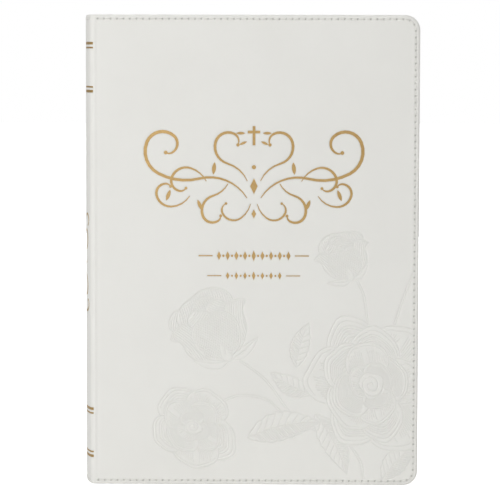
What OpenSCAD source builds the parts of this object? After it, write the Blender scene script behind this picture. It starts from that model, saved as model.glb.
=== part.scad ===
/* [Book size] */
// Height from tail to head
book_h = 228; // [200:1:250]
// Width from the back of the spine to the fore-edge
book_w = 162; // [150:1:180]
// Thickness across both covers
book_t = 34; // [34:1:34]

/* [Covers] */
// Radius of the covers' fore-edge corners
corner_r = 7.3; // [6:0.1:9]
// Thickness of the faux leather skin
skin_t = 0.8; // [0.6:0.1:0.9]
// Thickness of the flexible cover board
board_t = 1.0; // [0.8:0.1:1.0]
// Thickness of the skin where it is turned in over the board
turn_t = 0.3; // [0.2:0.1:0.4]
// Width of the turned-in skin round the board
turn_w = 14; // [10:1:18]
// Thickness of the pasted-down endpaper
paste_t = 0.15; // [0.1:0.05:0.2]

/* [Spine] */
// How far the spine stands out from the hinge lines
spine_rise = 5.6; // [5:0.1:6.5]
// Radius where the spine turns into a cover
spine_r = 3; // [2.5:0.1:3.5]
// Thickness of the card stiffener inside the spine
inlay_t = 0.6; // [0.4:0.1:0.8]

/* [Stitching] */
// Distance from one stitch to the next
stitch_pitch = 3.13; // [2.8:0.01:3.6]
// Length of one stitch
stitch_l = 2.35; // [1.8:0.05:2.6]
// Distance of the seam from the cover's edge
seam_in = 2.0; // [1.8:0.1:2.6]

/* [Pages] */
// Overhang of the covers past the pages
square_w = 3.5; // [3:0.1:5]
// Number of sewn sections in each half of the book
half_n = 7; // [7:1:7]
// Distance from one section to the next
sec_pitch = 1.95; // [1.95:0.01:1.95]
// Thickness of one section
sec_t = 1.85; // [1.6:0.05:1.85]
// Hollow of the fore-edge
fore_hollow = 2.6; // [0:0.1:4]
// Corner radius of the pages at the fore-edge
page_r = 6; // [4:0.5:8]

/* [Foil] */
// Depth of the stamped foil below the skin
foil_deep = 0.12; // [0.1:0.01:0.2]
// Thickness of the foil
foil_t = 0.08; // [0.05:0.01:0.1]

/* [Hidden] */
$fn = 96;

// Half sizes, and the plane that each layer lies on, measured from the middle of the book.
ht = book_t / 2;
xs = -book_w / 2;                 // back of the spine
xr = book_w / 2;                  // fore-edge of the covers
xh = xs + spine_rise;             // hinge lines of both covers
joint_gap = 0.3;
y_skin = ht - skin_t;
y_board = y_skin - board_t;
y_turn = y_board - turn_t;
y_paste = y_turn - paste_t;

// Spine section: a wide arc that runs into a small arc at each cover.
big_r = (pow(ht - spine_r, 2) + spine_rise * spine_rise - spine_r * spine_r) / (2 * (spine_rise - spine_r));
big_x = xs + big_r;
ang_t = atan2(ht - spine_r, big_x - xh);   // where the two arcs meet

// Pages.
page_h = book_h - 2 * square_w;
page_x = xr - square_w;
fold_x = -71;                     // line that the leaves turn on
back_rise = 3.5;
back_half = 14;                   // half of the block's thickness at its back
back_r = (back_half * back_half + back_rise * back_rise) / (2 * back_rise);
back_apex = xs + skin_t + inlay_t + 1.6;
back_x = back_apex + back_r;
mid_gap = 0.2;
lin_t = 0.3;

function sec_y(n) = n <= half_n ? -(mid_gap + (half_n - n + 0.5) * sec_pitch) : mid_gap + (n - half_n - 0.5) * sec_pitch;
function fore_x(y) = page_x - fore_hollow * (1 - pow(y / (ht - 2.5), 2));

// ---------- shared shapes ----------

// Cover outline in X and Z, set in by a distance on three sides.
module outline(inset, left) {
    r = max(corner_r - inset, 0.5);
    translate([left, inset + r]) square([xr - inset - left, book_h - 2 * inset - 2 * r]);
    translate([left, inset]) square([xr - inset - r - left, book_h - 2 * inset]);
    for (z = [inset + r, book_h - inset - r]) translate([xr - inset - r, z]) circle(r);
}

// A flat panel between two planes across the book.
module panel(inset, left, y0, y1) {
    translate([0, y1, 0]) rotate([90, 0, 0]) linear_extrude(y1 - y0) outline(inset, left);
}

// Spine section, moved in by a distance from the outer face.
module spine_2d(inset) {
    intersection() {
        translate([big_x, 0]) circle(big_r - inset, $fn = 180);
        polygon([[big_x, 0], [big_x - 60 * cos(ang_t), 60 * sin(ang_t)], [big_x - 90, 0], [big_x - 60 * cos(ang_t), -60 * sin(ang_t)]]);
    }
    for (s = [-1, 1]) translate([xh, s * (ht - spine_r)]) circle(spine_r - inset);
}

// Shell that follows the spine between two depths, left of a plane.
module spine_shell(d0, d1, z0, z1, right) {
    translate([0, 0, z0]) linear_extrude(z1 - z0) intersection() {
        difference() { spine_2d(d0); spine_2d(d1); }
        translate([xs - 5, -ht - 5]) square([right - xs + 5, book_t + 10]);
    }
}

// Sector of a ring round the block's rounded back.
module back_ring(r0, r1, half, z0, z1) {
    a = asin(half / back_r);
    translate([back_x, 0, z0]) linear_extrude(z1 - z0) intersection() {
        difference() { circle(r1, $fn = 180); circle(r0, $fn = 180); }
        polygon([[0, 0], [-80 * cos(a), 80 * sin(a)], [-90, 0], [-80 * cos(a), -80 * sin(a)]]);
    }
}

// Bead that follows the block's rounded back.
module back_bead(r, bead, half, z) {
    a = asin(half / r);
    translate([back_x, 0, z]) rotate([0, 0, 180 - a]) rotate_extrude(angle = 2 * a, $fn = 180) translate([r, 0]) circle(bead, $fn = 32);
}

// ---------- foil drawing ----------

// Points [x, z, heading] along arcs of [radius, turn], each starting where the last one ended. Negative turns go clockwise.
function walk(p, a, arcs, i = 0) =
    i == len(arcs) ? [[p[0], p[1], a]]
    : let (r = arcs[i][0], t = arcs[i][1], s = t > 0 ? 1 : -1, n = ceil(abs(t) * (r > 15 ? 1 : 0.7) / 10), c = p + s * r * [-sin(a), cos(a)])
      concat([for (k = [0:n - 1]) let (b = a + t * k / n) [c[0] + s * r * sin(b), c[1] - s * r * cos(b), b]],
             walk(c + s * r * [sin(a + t), -cos(a + t)], a + t, arcs, i + 1));

// Pen stroke along the arcs, thin at both ends and wide in the middle, with a round drop at its far end.
module stroke(p, a, arcs, w_mid, w_end = 0.35, drop = 0) {
    q = walk(p, a, arcs);
    n = len(q) - 1;
    w = [for (k = [0:n]) (w_end + (w_mid - w_end) * pow(sin(180 * k / n), 0.8)) / 2];
    polygon(concat([for (k = [0:n]) [q[k][0] - w[k] * sin(q[k][2]), q[k][1] + w[k] * cos(q[k][2])]],
                   [for (k = [n:-1:0]) [q[k][0] + w[k] * sin(q[k][2]), q[k][1] - w[k] * cos(q[k][2])]]));
    if (drop > 0) translate([q[n][0], q[n][1]]) circle(drop, $fn = 24);
}

// Pointed leaf of a length and width, growing from a point.
module petal(p, a, l, w) {
    r = (l * l + w * w) / (4 * w);
    translate(p) rotate(a) intersection() {
        translate([l / 2, r - w / 2]) circle(r, $fn = 64);
        translate([l / 2, w / 2 - r]) circle(r, $fn = 64);
    }
}

module latin_cross(h, w, bar) {
    translate([-bar / 2, -h * 0.5]) square([bar, h]);
    translate([-w / 2, h * 0.12]) square([w, bar]);
}

module diamond(w, h) { polygon([[-w / 2, 0], [0, -h / 2], [w / 2, 0], [0, h / 2]]); }

module both_sides() { children(); mirror([1, 0]) children(); }

// Row of diamonds with dots between them.
module divider(n, gap, w, h, dot) {
    for (k = [-n:n]) translate([k * gap, 0]) diamond(w, k == 0 ? h * 1.25 : h);
    for (k = [-n:n - 1]) translate([(k + 0.5) * gap, 0]) circle(dot, $fn = 20);
    both_sides() translate([(n + 0.75) * gap, -dot * 0.45]) square([gap * 1.6, dot * 0.9]);
}

foil_c = [1.2, 145.5];            // middle of the front drawing, in X and Z

module front_drawing() {
    translate(foil_c) {
        translate([0, 24.4]) latin_cross(9.2, 6, 1.3);
        both_sides() {
            petal([4.2, 25.6], 0, 4.4, 1.3);
            petal([3.4, 21.6], -24, 4, 1.2);
            // long stem with its end curl
            stroke([3.4, -5.6], 58, [[21, -72], [28, 42], [12, 84], [8.2, 110], [5, 110], [3, 60]], 1.6, 0.4, 0.9);
            // inner curl over the middle
            stroke([3.2, 2.6], 66, [[15, -50], [8.4, 90], [6.4, 100], [4, 90]], 1.35, 0.35, 0.8);
            // outer curl that leaves the stem upwards
            stroke([23, 2.4], 62, [[13, -44], [7.4, -86], [5, -100], [3, -70]], 1.25, 0.35, 0.7);
            // lower curls
            stroke([12.5, 1.2], -62, [[12, 46], [7.4, -94], [5, -100], [3, -60]], 1.3, 0.35, 0.7);
            stroke([31, -4.8], -58, [[11, 56], [7, 80], [4.6, 100], [2.8, 60]], 1.2, 0.35, 0.7);
            stroke([1.6, -8.6], -76, [[12, 40], [6, 100], [3.6, 90]], 1.0, 0.3, 0.6);
            petal([19.6, 5.6], 96, 6, 1.9);
            petal([40.4, -1.8], -70, 5.6, 1.8);
            petal([27.2, -6.6], -112, 5.4, 1.7);
        }
        diamond(3.6, 7.6);
        translate([0, -13.4]) diamond(2.2, 4.4);
        translate([0, 9.2]) circle(1.0, $fn = 24);
        translate([0, -33.7]) divider(4, 4.2, 2.0, 4.2, 0.55);
        translate([0, -43.4]) divider(3, 4.2, 1.7, 3.4, 0.45);
    }
}

spine_c = 108;                    // height of the middle of the spine drawing

module spine_drawing() {
    translate([0, spine_c]) scale(0.68) {
        both_sides() {
            for (q = [0, 1]) mirror([0, q]) {
                stroke([1.6, 3.4], 62, [[12, -50], [7.6, 96], [5.6, 110], [3.4, 70]], 1.5, 0.4, 0.8);
                stroke([2.6, 16], 40, [[12, 60], [6.4, -150], [3.6, -110]], 1.3, 0.4, 0.7);
                petal([1.2, 24], 76, 9, 2.2);
            }
            petal([3, 0], 0, 9, 2.4);
        }
        diamond(3.6, 7);
        for (q = [-1, 1]) {
            translate([0, q * 36]) circle(0.9, $fn = 24);
            translate([0, q * 41.5]) diamond(3, 6);
            translate([0, q * 47]) circle(0.9, $fn = 24);
        }
    }
}

// ---------- binding ----------

// Bands across the spine: distance from the head or tail, and width.
bands_at = [[13.8, 1.25], [15.9, 0.75], [34.8, 0.75], [36.9, 1.25]];
band_x = xh - 1.1;
module bands(d0, d1, grow) {
    for (b = bands_at, z = [b[0], book_h - b[0]])
        spine_shell(d0, d1, z - b[1] / 2 - grow, z + b[1] / 2 + grow, band_x + grow);
}

module spine_art(d0, d1) {
    intersection() {
        spine_shell(d0, d1, 40, book_h - 40, xh - 1);
        translate([xs - 1, 0, 0]) rotate([90, 0, 90]) linear_extrude(8) spine_drawing();
    }
}

module spine_leather() color([0.89, 0.885, 0.87]) difference() {
    spine_shell(0, skin_t, 0, book_h, xh - joint_gap);
    for (z = [seam_in, book_h - seam_in]) spine_shell(-0.5, 0.3, z - 0.4, z + 0.4, xh);
    bands(-0.5, foil_deep, 0.001);
    spine_art(-0.5, foil_deep);
}

module spine_inlay() color([0.72, 0.68, 0.6])
    intersection() {
        spine_shell(skin_t, skin_t + inlay_t, 4, book_h - 4, xh - 2.4);
        translate([xs, -12.5, 0]) cube([10, 25, book_h]);
    }

module spine_stitching() color([0.93, 0.925, 0.91]) {
    n = 9;
    step = stitch_pitch / big_r * 180 / PI;
    for (z = [seam_in, book_h - seam_in], k = [-(n - 1) / 2:(n - 1) / 2])
        translate([big_x, 0, z]) rotate([0, 0, k * step]) translate([-big_r + 0.05, -stitch_l / 2, -0.25]) cube([0.25, stitch_l, 0.5]);
}

module spine_foil_bands() color([0.78, 0.62, 0.36]) bands(foil_deep - foil_t, foil_deep, 0);

module spine_foil_ornament() color([0.78, 0.62, 0.36]) spine_art(foil_deep - foil_t, foil_deep);

module section_folds() color([0.95, 0.93, 0.87]) difference() {
    translate([0, 0, square_w]) linear_extrude(page_h) intersection() {
        translate([back_x, 0]) circle(back_r, $fn = 180);
        union() for (n = [1:2 * half_n]) translate([-90, sec_y(n) - sec_t / 2]) square([90 + fold_x - 0.35, sec_t]);
    }
    for (z = thread_z) back_ring(back_r - 0.7, back_r + 1, back_half + 2, z - 0.4, z + 0.4);
}

thread_z = [for (k = [0:4]) square_w + page_h * (0.1 + 0.2 * k)];
module sewing_thread() color([0.9, 0.88, 0.82]) for (z = thread_z) back_bead(back_r - 0.35, 0.3, 13.4, z);

module mull_lining() color([0.86, 0.84, 0.76]) back_ring(back_r, back_r + lin_t, 13.8, 10, book_h - 10);

module kraft_lining() color([0.7, 0.58, 0.42]) back_ring(back_r + lin_t, back_r + 2 * lin_t, 13.4, 14, book_h - 14);

module head_band() color([0.9, 0.82, 0.6]) back_bead(back_r - 1.0, 0.9, 12.6, book_h - square_w + 0.9);
module tail_band() color([0.9, 0.82, 0.6]) back_bead(back_r - 1.0, 0.9, 12.6, square_w - 0.9);

module ribbon_marker() color([0.93, 0.9, 0.82]) translate([0, 0.1, 0]) rotate([90, 0, 0]) linear_extrude(0.2)
    polygon([[-77, 205], [-77, 220], [-70.2, 222], [-64.2, 222], [-58, 12], [-61, 15.5], [-64, 12], [-70.2, 205]]);

// ---------- covers ----------

// A cover is built at the front and mirrored to the back.
module at(side) { mirror([0, side > 0 ? 1 : 0, 0]) children(); }

module cover_leather(side, art) color([0.89, 0.885, 0.87]) at(side) difference() {
    panel(0, xh + joint_gap, -ht, -y_turn);
    panel(1, xh + 1.4, -y_skin, -y_board);
    translate([xh - 1, -y_board - 0.01, turn_w]) cube([xr - turn_w - xh + 1, turn_t + 1, book_h - 2 * turn_w]);
    difference() {
        panel(seam_in - 0.4, xh - 1, -ht - 1, -ht + 0.3);
        panel(seam_in + 0.4, xh - 2, -ht - 2, -ht + 1);
    }
    if (art) translate([0, -ht + foil_deep, 0]) rotate([90, 0, 0]) linear_extrude(1) front_drawing();
}

module cover_board(side) color([0.6, 0.56, 0.5]) at(side) {
    panel(1, xh + 1.4, -y_skin, -y_board);
    translate([xh + 26, -y_board, turn_w + 0.2]) cube([xr - turn_w - xh - 26.2, turn_t, book_h - 2 * turn_w - 0.4]);
}

module mull_flap(side) color([0.86, 0.84, 0.76]) at(side)
    translate([xh + 1.4, -y_board, turn_w + 2]) cube([24, turn_t, book_h - 2 * turn_w - 4]);

module pastedown(side) color([0.95, 0.93, 0.88]) at(side) panel(2.4, xh + 0.8, -y_turn, -y_paste);

// Seam path round the head, fore-edge and tail: [x, z, heading] at a distance along it.
seam_r = corner_r - seam_in;
seam_x0 = xh + 1.2;
seam_a = xr - seam_in - seam_r - seam_x0;
seam_c = seam_r * PI / 2;
seam_v = book_h - 2 * seam_in - 2 * seam_r;
seam_len = 2 * seam_a + 2 * seam_c + seam_v;
function seam(s) =
    s < seam_a ? [seam_x0 + s, book_h - seam_in, 0]
    : s < seam_a + seam_c ? let (t = (s - seam_a) / seam_r * 180 / PI) [xr - seam_in - seam_r + seam_r * sin(t), book_h - seam_in - seam_r + seam_r * cos(t), -t]
    : s < seam_a + seam_c + seam_v ? [xr - seam_in, book_h - seam_in - seam_r - (s - seam_a - seam_c), -90]
    : s < seam_a + 2 * seam_c + seam_v ? let (t = (s - seam_a - seam_c - seam_v) / seam_r * 180 / PI) [xr - seam_in - seam_r + seam_r * cos(t), seam_in + seam_r - seam_r * sin(t), -90 - t]
    : [seam_x0 + seam_len - s, seam_in, -180];

module cover_stitching(side) color([0.93, 0.925, 0.91]) at(side) {
    n = floor(seam_len / stitch_pitch);
    for (k = [0:n - 1]) {
        q = seam((k + 0.5) * seam_len / n);
        translate([q[0], -ht + 0.05, q[1]]) rotate([0, -q[2], 0]) translate([-stitch_l / 2, 0, -0.25]) cube([stitch_l, 0.25, 0.5]);
    }
}

module front_foil_ornament() color([0.78, 0.62, 0.36])
    translate([0, -ht + foil_deep, 0]) rotate([90, 0, 0]) linear_extrude(foil_t) front_drawing();

// ---------- leaves and sections ----------

// Body of a group of leaves: a narrow neck at the fold that widens to the full thickness.
module leaves(x, y, t, tip, neck) {
    xe = fore_x(y);
    intersection() {
        translate([0, 0, square_w]) linear_extrude(page_h) union() {
            translate([x, y]) circle(tip, $fn = 24);
            polygon([[x, y - tip], [x + neck, y - t / 2], [fore_x(y - t / 2), y - t / 2], [fore_x(y + t / 2), y + t / 2], [x + neck, y + t / 2], [x, y + tip]]);
        }
        translate([0, ht, 0]) rotate([90, 0, 0]) linear_extrude(book_t) {
            translate([x - 5, square_w]) square([xe - page_r - x + 5, page_h]);
            translate([x - 5, square_w + page_r]) square([xe - x + 15, page_h - 2 * page_r]);
            for (z = [square_w + page_r, book_h - square_w - page_r]) translate([xe - page_r, z]) circle(page_r, $fn = 64);
        }
    }
}

module section(n) color([0.95, 0.93, 0.87]) leaves(fold_x, sec_y(n), sec_t, 0.2, 6);
module front_flyleaf() color([0.95, 0.93, 0.88]) leaves(fold_x - 1.0, -14.5, 0.2, 0.1, 1);
module presentation_leaf() color([0.96, 0.94, 0.9]) leaves(fold_x - 0.5, -14.1, 0.3, 0.15, 1);
module map_leaf() color([0.96, 0.94, 0.9]) leaves(fold_x - 0.5, 14.1, 0.3, 0.15, 1);
module back_flyleaf() color([0.95, 0.93, 0.88]) leaves(fold_x - 1.0, 14.5, 0.2, 0.1, 1);

spine_leather();
spine_inlay();
spine_stitching();
spine_foil_bands();
spine_foil_ornament();
section_folds();
sewing_thread();
mull_lining();
kraft_lining();
head_band();
tail_band();
ribbon_marker();
cover_leather(-1, true);  // front_cover_leather
cover_board(-1);  // front_cover_board
cover_stitching(-1);  // front_stitching
mull_flap(-1);  // front_mull_flap
pastedown(-1);  // front_pastedown
front_foil_ornament();
cover_leather(1, false);  // back_cover_leather
cover_board(1);  // back_cover_board
cover_stitching(1);  // back_stitching
mull_flap(1);  // back_mull_flap
pastedown(1);  // back_pastedown
front_flyleaf();
presentation_leaf();
section(1);  // section_01
section(2);  // section_02
section(3);  // section_03
section(4);  // section_04
section(5);  // section_05
section(6);  // section_06
section(7);  // section_07
section(8);  // section_08
section(9);  // section_09
section(10);  // section_10
section(11);  // section_11
section(12);  // section_12
section(13);  // section_13
section(14);  // section_14
map_leaf();
back_flyleaf();
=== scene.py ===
import math
import bpy
import numpy as np
from mathutils import Vector, Matrix
from mathutils.bvhtree import BVHTree


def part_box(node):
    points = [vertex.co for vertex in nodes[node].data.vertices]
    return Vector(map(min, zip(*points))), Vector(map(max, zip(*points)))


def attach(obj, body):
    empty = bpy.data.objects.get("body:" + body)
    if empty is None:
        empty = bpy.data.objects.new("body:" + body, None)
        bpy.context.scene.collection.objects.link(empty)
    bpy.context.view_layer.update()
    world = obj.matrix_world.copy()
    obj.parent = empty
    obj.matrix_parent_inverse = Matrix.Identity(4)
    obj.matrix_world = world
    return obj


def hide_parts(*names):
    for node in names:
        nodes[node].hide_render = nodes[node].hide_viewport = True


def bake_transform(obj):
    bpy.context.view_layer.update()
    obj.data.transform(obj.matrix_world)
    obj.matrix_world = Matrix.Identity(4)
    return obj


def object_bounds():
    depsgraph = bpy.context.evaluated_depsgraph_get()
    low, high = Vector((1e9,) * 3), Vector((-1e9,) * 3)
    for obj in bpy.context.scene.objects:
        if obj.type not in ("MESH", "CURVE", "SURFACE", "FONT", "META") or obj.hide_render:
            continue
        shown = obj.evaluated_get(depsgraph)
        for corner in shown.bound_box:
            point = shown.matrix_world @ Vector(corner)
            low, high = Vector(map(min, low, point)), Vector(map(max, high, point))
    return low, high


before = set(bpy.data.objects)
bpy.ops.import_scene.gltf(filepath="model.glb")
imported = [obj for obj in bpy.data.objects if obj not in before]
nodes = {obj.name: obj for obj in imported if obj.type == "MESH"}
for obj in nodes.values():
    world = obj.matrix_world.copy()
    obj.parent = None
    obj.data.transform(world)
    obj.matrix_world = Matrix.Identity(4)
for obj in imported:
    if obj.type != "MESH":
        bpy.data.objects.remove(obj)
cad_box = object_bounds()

# ------------------------------------------------------------------ sizes, in millimetres, read from the frame
MM = 0.001
lo, hi = [np.array(v, float) * 1000 for v in cad_box]
XS, XR = lo[0], hi[0]
HT = hi[1]
H = hi[2]
spine_box = [np.array(v, float) * 1000 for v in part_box("spine_leather")]
XH = spine_box[1][0] + 0.3                     # hinge line of both covers
CR = 7.3                                       # corner radius of the covers
RIM = 1.05                                     # half of a cover's thickness
RISE = XH - XS
SR = 3.0
BR = ((HT - SR) ** 2 + RISE ** 2 - SR ** 2) / (2 * (RISE - SR))
BX = XS + BR
SEAM = 2.0
page_box = [np.array(v, float) * 1000 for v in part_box("section_folds")]
PZ0, PZ1 = page_box[0][2], page_box[1][2]
BACK_X = page_box[0][0]
rng = np.random.default_rng(7)


def smooth01(t):
    t = np.clip(t, 0.0, 1.0)
    return t * t * (3 - 2 * t)


# ------------------------------------------------------------------ mesh helper
def make(name, V, F, mats, body=None, smooth=True, mat_index=None):
    """A mesh object from points in millimetres and a list of quad or triangle arrays."""
    V = np.asarray(V, float) * MM
    groups = [np.asarray(f, np.int32) for f in (F if isinstance(F, list) else [F]) if len(f)]
    me = bpy.data.meshes.new(name)
    me.vertices.add(len(V))
    me.vertices.foreach_set("co", V.astype(np.float32).ravel())
    loops = np.concatenate([g.ravel() for g in groups])
    sizes = np.concatenate([np.full(len(g), g.shape[1], np.int32) for g in groups])
    starts = np.concatenate([[0], np.cumsum(sizes)[:-1]]).astype(np.int32)
    me.loops.add(len(loops))
    me.loops.foreach_set("vertex_index", loops)
    me.polygons.add(len(sizes))
    me.polygons.foreach_set("loop_start", starts)
    me.polygons.foreach_set("loop_total", sizes)
    me.polygons.foreach_set("use_smooth", np.full(len(sizes), smooth, bool))
    if mat_index is not None:
        me.polygons.foreach_set("material_index", np.asarray(mat_index, np.int32))
    me.update(calc_edges=True)
    me.validate()
    for m in mats if isinstance(mats, (list, tuple)) else [mats]:
        me.materials.append(m)
    o = bpy.data.objects.new(name, me)
    bpy.context.scene.collection.objects.link(o)
    if body:
        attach(o, body)
    return o


def grid_faces(n, m, flip=False, base=0):
    """Quads of an n by m grid of points stored row by row."""
    i = np.arange(n - 1)[:, None] * m + np.arange(m - 1)[None, :] + base
    q = np.stack([i, i + 1, i + m + 1, i + m], -1).reshape(-1, 4)
    return q[:, ::-1] if flip else q


def sharp(o, degrees):
    me = o.data
    if hasattr(me, "set_sharp_from_angle"):
        me.set_sharp_from_angle(angle=math.radians(degrees))


# ------------------------------------------------------------------ materials
class Nodes:
    def __init__(self, name):
        self.mat = bpy.data.materials.new(name)
        self.mat.use_nodes = True
        self.t = self.mat.node_tree
        self.bsdf = self.t.nodes["Principled BSDF"]
        self.coord = self.t.nodes.new("ShaderNodeTexCoord")

    def new(self, kind, **values):
        n = self.t.nodes.new(kind)
        for k, v in values.items():
            if k in n.inputs:
                n.inputs[k].default_value = v
            else:
                setattr(n, k, v)
        return n

    def link(self, a, b):
        self.t.links.new(a, b)

    def mapping(self, scale=(1, 1, 1), rot=(0, 0, 0)):
        m = self.new("ShaderNodeMapping")
        m.inputs["Scale"].default_value = scale
        m.inputs["Rotation"].default_value = rot
        self.link(self.coord.outputs["Object"], m.inputs["Vector"])
        return m.outputs["Vector"]

    def noise(self, scale, detail=3, rough=0.5, vec=None, distortion=0.0):
        n = self.new("ShaderNodeTexNoise")
        n.inputs["Scale"].default_value = scale
        n.inputs["Detail"].default_value = detail
        n.inputs["Roughness"].default_value = rough
        n.inputs["Distortion"].default_value = distortion
        self.link(vec or self.coord.outputs["Object"], n.inputs["Vector"])
        return n.outputs["Fac"]

    def ramp(self, fac, stops):
        r = self.new("ShaderNodeValToRGB")
        e = r.color_ramp.elements
        while len(e) < len(stops):
            e.new(0.5)
        for k, (p, c) in enumerate(stops):
            e[k].position = p
            e[k].color = (*c, 1) if len(c) == 3 else c
        self.link(fac, r.inputs["Fac"])
        return r.outputs["Color"]

    def grey(self, fac, a, b, x0=0.0, x1=1.0):
        m = self.new("ShaderNodeMapRange")
        m.inputs["From Min"].default_value = x0
        m.inputs["From Max"].default_value = x1
        m.inputs["To Min"].default_value = a
        m.inputs["To Max"].default_value = b
        self.link(fac, m.inputs["Value"])
        return m.outputs["Result"]

    def math(self, op, a, b=None):
        m = self.new("ShaderNodeMath", operation=op)
        for k, v in enumerate([a, b]):
            if v is None:
                continue
            if isinstance(v, (int, float)):
                m.inputs[k].default_value = v
            else:
                self.link(v, m.inputs[k])
        return m.outputs[0]

    def bump(self, height, distance, strength=1.0, normal=None):
        b = self.new("ShaderNodeBump")
        b.inputs["Distance"].default_value = distance
        b.inputs["Strength"].default_value = strength
        self.link(height, b.inputs["Height"])
        if normal is not None:
            self.link(normal, b.inputs["Normal"])
        return b.outputs["Normal"]

    def set(self, **values):
        names = {"color": "Base Color", "rough": "Roughness", "metal": "Metallic", "spec": "Specular IOR Level", "normal": "Normal",
                 "sheen": "Sheen Weight", "sheen_rough": "Sheen Roughness", "coat": "Coat Weight", "coat_rough": "Coat Roughness", "sub": "Subsurface Weight",
                 "aniso": "Anisotropic"}
        for k, v in values.items():
            s = self.bsdf.inputs[names[k]]
            if isinstance(v, bpy.types.NodeSocket):
                self.link(v, s)
            elif isinstance(v, tuple):
                s.default_value = (*v, 1)
            else:
                s.default_value = v


def store_recess_shade(o, values):
    """Stores a weight per point of a skin, from the depth of its pressed lines and needle holes, that mixes the
    leather's colour towards dark grey: painted shade in these recesses.
    """
    a = o.data.attributes.new("recess_shade", "FLOAT", "POINT")
    v = np.zeros(len(o.data.vertices), np.float32)
    v[:len(values)] = np.clip(values, 0, 1)
    a.data.foreach_set("value", v)


def leather():
    n = Nodes("pearl_white_leather")
    # the weight stored on the skin darkens the leather in its pressed lines and needle holes: painted shade
    att = n.new("ShaderNodeAttribute", attribute_name="recess_shade")
    v = n.new("ShaderNodeTexVoronoi", feature="DISTANCE_TO_EDGE")
    v.inputs["Scale"].default_value = 1500
    n.link(n.coord.outputs["Object"], v.inputs["Vector"])
    cells = n.grey(v.outputs["Distance"], 0.0, 1.0, 0.0, 0.22)
    fine = n.noise(3800, 4, 0.6)
    broad = n.noise(26, 3, 0.55)
    pores = n.noise(760, 2, 0.5)
    h = n.math("ADD", n.math("MULTIPLY", cells, 0.5), n.math("MULTIPLY", fine, 0.35))
    h = n.math("ADD", h, n.math("MULTIPLY", pores, 0.4))
    mix = n.new("ShaderNodeMix", data_type="RGBA")
    n.link(att.outputs["Fac"], mix.inputs[0])
    n.link(n.ramp(n.math("ADD", n.math("MULTIPLY", broad, 0.75), n.math("MULTIPLY", fine, 0.25)),
                  [(0.25, (0.815, 0.808, 0.770)), (0.55, (0.838, 0.832, 0.793)), (0.8, (0.855, 0.850, 0.814))]), mix.inputs[6])
    # the dark grey of the painted shade in the recesses
    mix.inputs[7].default_value = (0.33, 0.325, 0.305, 1)
    n.set(color=mix.outputs[2],
          rough=n.grey(n.math("ADD", n.math("MULTIPLY", broad, 0.6), n.math("MULTIPLY", cells, 0.4)), 0.46, 0.6, 0.3, 0.8),
          spec=0.4, coat=0.06, coat_rough=0.35, sheen=0.05, normal=n.bump(h, 0.00006, 0.35))
    return n.mat


def foil(name, dark=1.0):
    n = Nodes(name)
    broad = n.noise(420, 4, 0.65)
    fine = n.noise(5200, 3, 0.6)
    c = [(0.30, (0.66 * dark, 0.41 * dark, 0.150 * dark)), (0.55, (0.80 * dark, 0.53 * dark, 0.205 * dark)), (0.8, (0.90 * dark, 0.64 * dark, 0.290 * dark))]
    n.set(color=n.ramp(n.math("ADD", n.math("MULTIPLY", broad, 0.6), n.math("MULTIPLY", fine, 0.4)), c), metal=0.6,
          rough=n.grey(fine, 0.34, 0.56, 0.3, 0.7), normal=n.bump(n.math("ADD", fine, broad), 0.00004, 0.5))
    return n.mat


def thread(name, a, b):
    n = Nodes(name)
    w = n.noise(2600, 3, 0.6, n.mapping((1, 1, 1)))
    n.set(color=n.ramp(w, [(0.3, a), (0.7, b)]), rough=0.82, spec=0.2, sheen=0.3, sheen_rough=0.5, normal=n.bump(w, 0.00006, 0.6))
    return n.mat


def paper(name, a, b, rough=0.86, fibre=900):
    n = Nodes(name)
    f = n.noise(fibre, 5, 0.62, n.mapping((1, 1, 1.6)))
    broad = n.noise(22, 2, 0.5)
    mix = n.math("ADD", n.math("MULTIPLY", f, 0.45), n.math("MULTIPLY", broad, 0.55))
    n.set(color=n.ramp(mix, [(0.3, a), (0.7, b)]), rough=rough, spec=0.22, normal=n.bump(f, 0.00003, 0.5))
    return n.mat


def gilt():
    n = Nodes("gilt_page_edge")
    lines = n.noise(1.0, 2, 0.5, n.mapping((60, 9000, 60)))
    drift = n.noise(90, 3, 0.6)
    n.set(color=n.ramp(n.math("ADD", n.math("MULTIPLY", lines, 0.6), n.math("MULTIPLY", drift, 0.4)),
                       [(0.3, (0.44, 0.28, 0.105)), (0.55, (0.60, 0.41, 0.17)), (0.75, (0.74, 0.54, 0.25))]),
          metal=0.92, rough=n.grey(drift, 0.34, 0.52, 0.3, 0.7), normal=n.bump(lines, 0.00012, 0.7))
    return n.mat


def weave(name, a, b, scale, depth=0.0001, rough=0.85, sheen=0.2):
    n = Nodes(name)
    w1 = n.new("ShaderNodeTexWave", wave_type="BANDS", bands_direction="Z")
    w2 = n.new("ShaderNodeTexWave", wave_type="BANDS", bands_direction="Y")
    for w in (w1, w2):
        w.inputs["Scale"].default_value = scale
        w.inputs["Distortion"].default_value = 0.6
        n.link(n.coord.outputs["Object"], w.inputs["Vector"])
    h = n.math("MAXIMUM", w1.outputs["Fac"], w2.outputs["Fac"])
    n.set(color=n.ramp(h, [(0.2, a), (0.8, b)]), rough=rough, spec=0.2, sheen=sheen, normal=n.bump(h, depth, 0.8))
    return n.mat


def board():
    n = Nodes("grey_binders_board")
    f = n.noise(1400, 5, 0.7)
    n.set(color=n.ramp(f, [(0.3, (0.30, 0.27, 0.23)), (0.7, (0.42, 0.39, 0.34))]), rough=0.92, normal=n.bump(f, 0.0001, 0.6))
    return n.mat


def satin():
    n = Nodes("satin_ribbon")
    w = n.new("ShaderNodeTexWave", wave_type="BANDS", bands_direction="Z")
    w.inputs["Scale"].default_value = 700
    n.link(n.coord.outputs["Object"], w.inputs["Vector"])
    n.set(color=n.ramp(w.outputs["Fac"], [(0.2, (0.78, 0.74, 0.62)), (0.8, (0.86, 0.83, 0.72))]), rough=0.32, spec=0.5, sheen=0.3,
          normal=n.bump(w.outputs["Fac"], 0.00003, 0.5))
    return n.mat


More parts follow.
